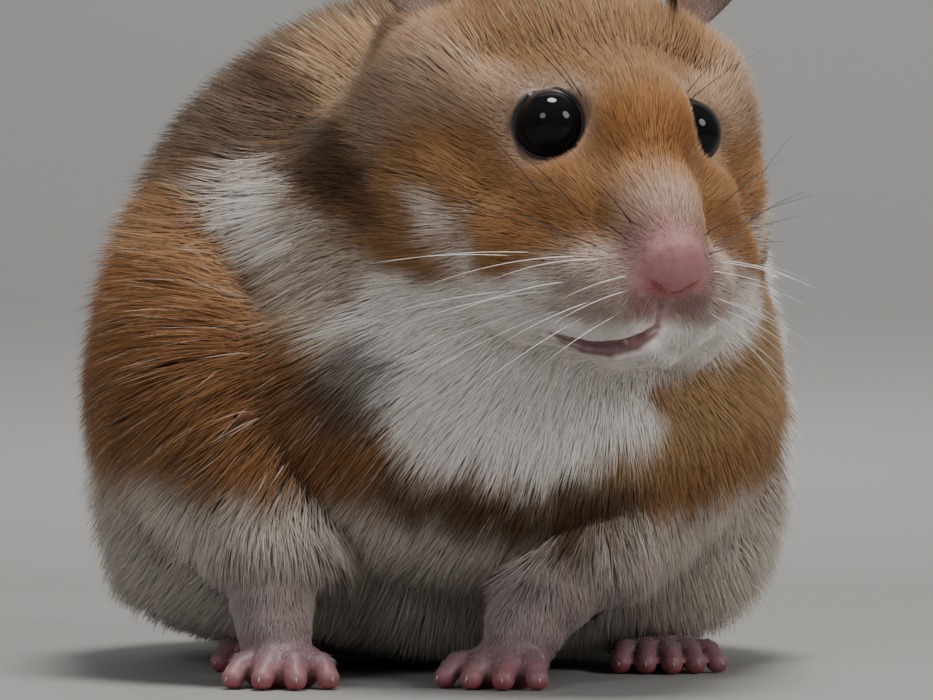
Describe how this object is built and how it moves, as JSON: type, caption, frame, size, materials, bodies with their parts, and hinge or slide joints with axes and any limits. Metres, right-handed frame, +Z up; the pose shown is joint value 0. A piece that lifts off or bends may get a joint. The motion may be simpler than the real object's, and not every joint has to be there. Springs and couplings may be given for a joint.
{
  "type": "syrian hamster model",
  "caption": "Life-size still model of a Syrian hamster sitting hunched, head turned to its left, with banded golden and white fur, dark eyes and pink feet.",
  "frame": {"origin": "on the floor under the middle of the whole animal's box", "axes": "+X to the animal's left, -Y the way its trunk faces, +Z up"},
  "size_m": [0.0782, 0.1, 0.0791],
  "materials": {
    "coat": "dense soft fur, golden brown with white bands, dark ticking and a matt sheen",
    "pink_skin": "bare or thinly haired soft pink skin of the nose, feet and tail",
    "ear_skin": "thin dark grey skin with very short fine hair",
    "eye": "glossy black, wet-looking",
    "claw": "pale horn, slightly translucent",
    "whisker": "stiff tapering hairs, white or dark brown"
  },
  "bodies": {
    "root": {"trunk": "coat", "tail": "pink_skin", "head": "coat", "nose": "pink_skin", "eye_left": "eye", "eye_right": "eye", "ear_left": "ear_skin", "ear_right": "ear_skin", "front_leg_left": "coat", "front_paw_left": "pink_skin", "front_paw_left_claw_1": "claw", "front_paw_left_claw_2": "claw", "front_paw_left_claw_3": "claw", "front_paw_left_claw_4": "claw", "front_leg_right": "coat", "front_paw_right": "pink_skin", "front_paw_right_claw_1": "claw", "front_paw_right_claw_2": "claw", "front_paw_right_claw_3": "claw", "front_paw_right_claw_4": "claw", "hind_leg_left": "coat", "hind_foot_left": "pink_skin", "hind_foot_left_claw_1": "claw", "hind_foot_left_claw_2": "claw", "hind_foot_left_claw_3": "claw", "hind_foot_left_claw_4": "claw", "hind_foot_left_claw_5": "claw", "hind_leg_right": "coat", "hind_foot_right": "pink_skin", "hind_foot_right_claw_1": "claw", "hind_foot_right_claw_2": "claw", "hind_foot_right_claw_3": "claw", "hind_foot_right_claw_4": "claw", "hind_foot_right_claw_5": "claw"}
  },
  "joints": []
}
